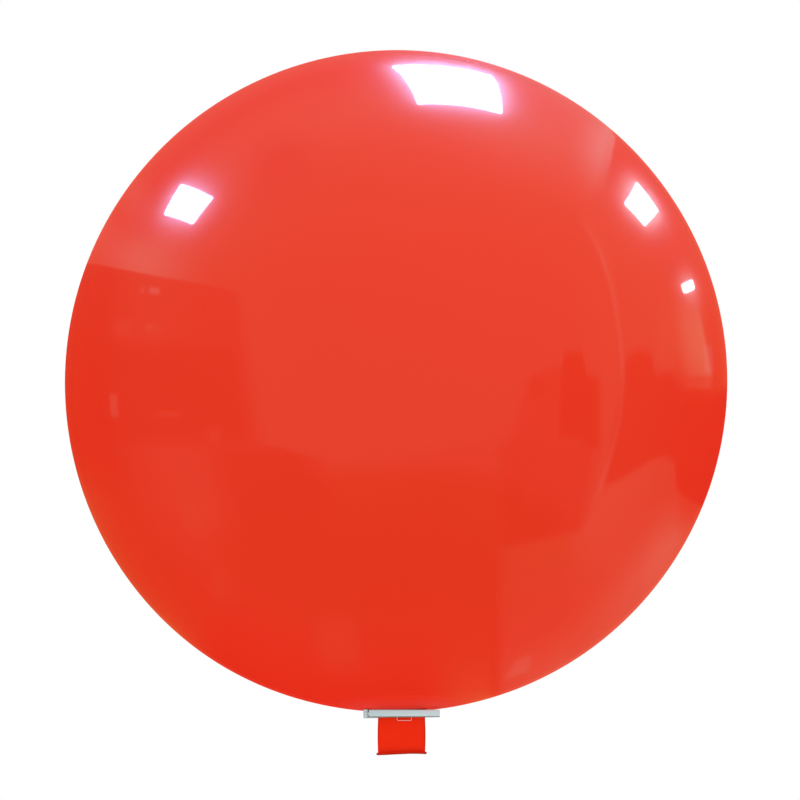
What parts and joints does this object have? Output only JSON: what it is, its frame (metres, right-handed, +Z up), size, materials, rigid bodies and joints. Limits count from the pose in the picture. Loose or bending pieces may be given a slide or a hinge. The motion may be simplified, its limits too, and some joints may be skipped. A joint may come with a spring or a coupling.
{
  "type": "giant latex balloon with closing clip",
  "caption": "Giant red latex balloon blown up to a ball, its flat neck with a rolled rim held shut by a hinged plastic clip that carries a small loop for a string.",
  "frame": {"origin": "centre of the blown-up ball, at the mount air, where the air holds it up", "axes": "+Z up, away from the neck; -Y is the front, where the clip's front jaw and its loop are; +X is towards the clip's tip, and its hinge is at -X"},
  "size_m": [1.114, 1.114, 1.1854],
  "materials": {
    "latex": "glossy stretched latex, bright red",
    "clip_plastic": "satin moulded plastic, pale blue grey",
    "loop_plastic": "satin moulded plastic, off-white",
    "pin_steel": "plain steel"
  },
  "bodies": {
    "balloon": {"envelope": "latex", "neck": "latex", "mouth_bead": "latex", "clip_rear_jaw": "clip_plastic", "hinge_pin": "pin_steel"},
    "front_jaw": {"clip_front_jaw": "clip_plastic", "tie_loop": "loop_plastic"}
  },
  "joints": [
    {"name": "clip_hinge", "type": "hinge", "parent": "balloon", "child": "front_jaw", "pos_m": [-0.049, -0.0043, -0.5623], "axis": [0, 0, -1], "range_deg": [0, 135]}
  ]
}
